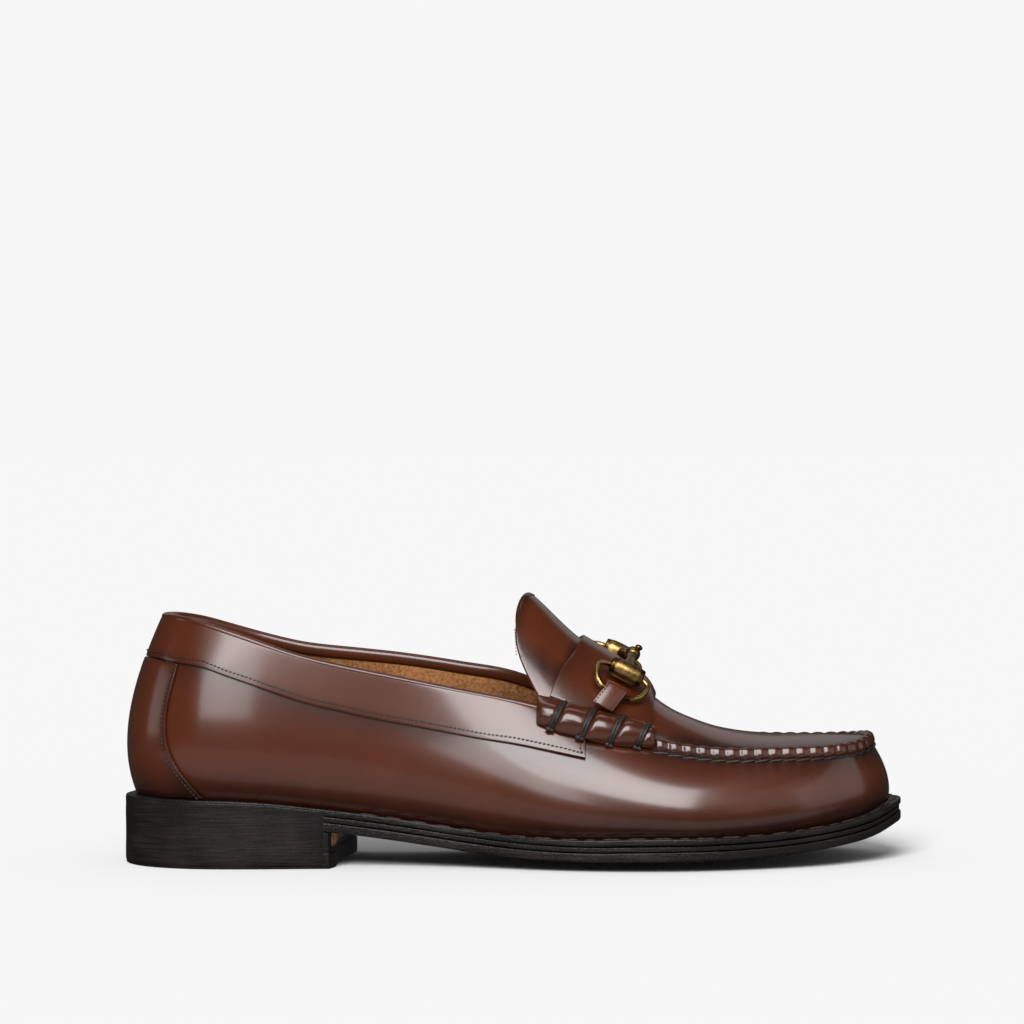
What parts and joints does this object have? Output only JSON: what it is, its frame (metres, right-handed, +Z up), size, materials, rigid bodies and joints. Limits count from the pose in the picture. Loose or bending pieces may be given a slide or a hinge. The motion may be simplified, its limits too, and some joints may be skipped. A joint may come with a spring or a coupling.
{
  "type": "bit loafer",
  "caption": "Brown leather moccasin loafer, right foot, with a raised apron seam, laced saddle rolls, a brass snaffle bit and a stacked heel.",
  "frame": {"origin": "on the floor, under the middle of the shoe's length and width", "axes": "+X from the heel to the toe, +Y towards the medial side, +Z up"},
  "size_m": [0.302, 0.1057, 0.1035],
  "materials": {
    "upper_leather": "polished brush-off leather, glossy",
    "seam_leather": "polished leather, darkened in the folds",
    "lining": "suede lining, matt",
    "sole_edge": "black edge dressing, semi-gloss",
    "bit_metal": "antique brass, polished high spots"
  },
  "bodies": {
    "root": {"top_lift": "sole_edge", "heel_stack": "sole_edge", "outsole": "sole_edge", "midsole": "sole_edge", "welt": "sole_edge", "insole": "lining", "upper": "upper_leather", "tongue": "upper_leather", "collar_band": "upper_leather", "heel_counter": "upper_leather", "saddle": "upper_leather", "beefroll_lateral": "seam_leather", "beefroll_medial": "seam_leather", "moc_seam": "seam_leather", "bit_tab_lateral": "upper_leather", "bit_tab_medial": "upper_leather", "bit_ring_lateral": "bit_metal", "bit_ring_medial": "bit_metal", "bit_barrel_lateral": "bit_metal", "bit_barrel_medial": "bit_metal", "bit_link": "bit_metal"}
  },
  "joints": []
}
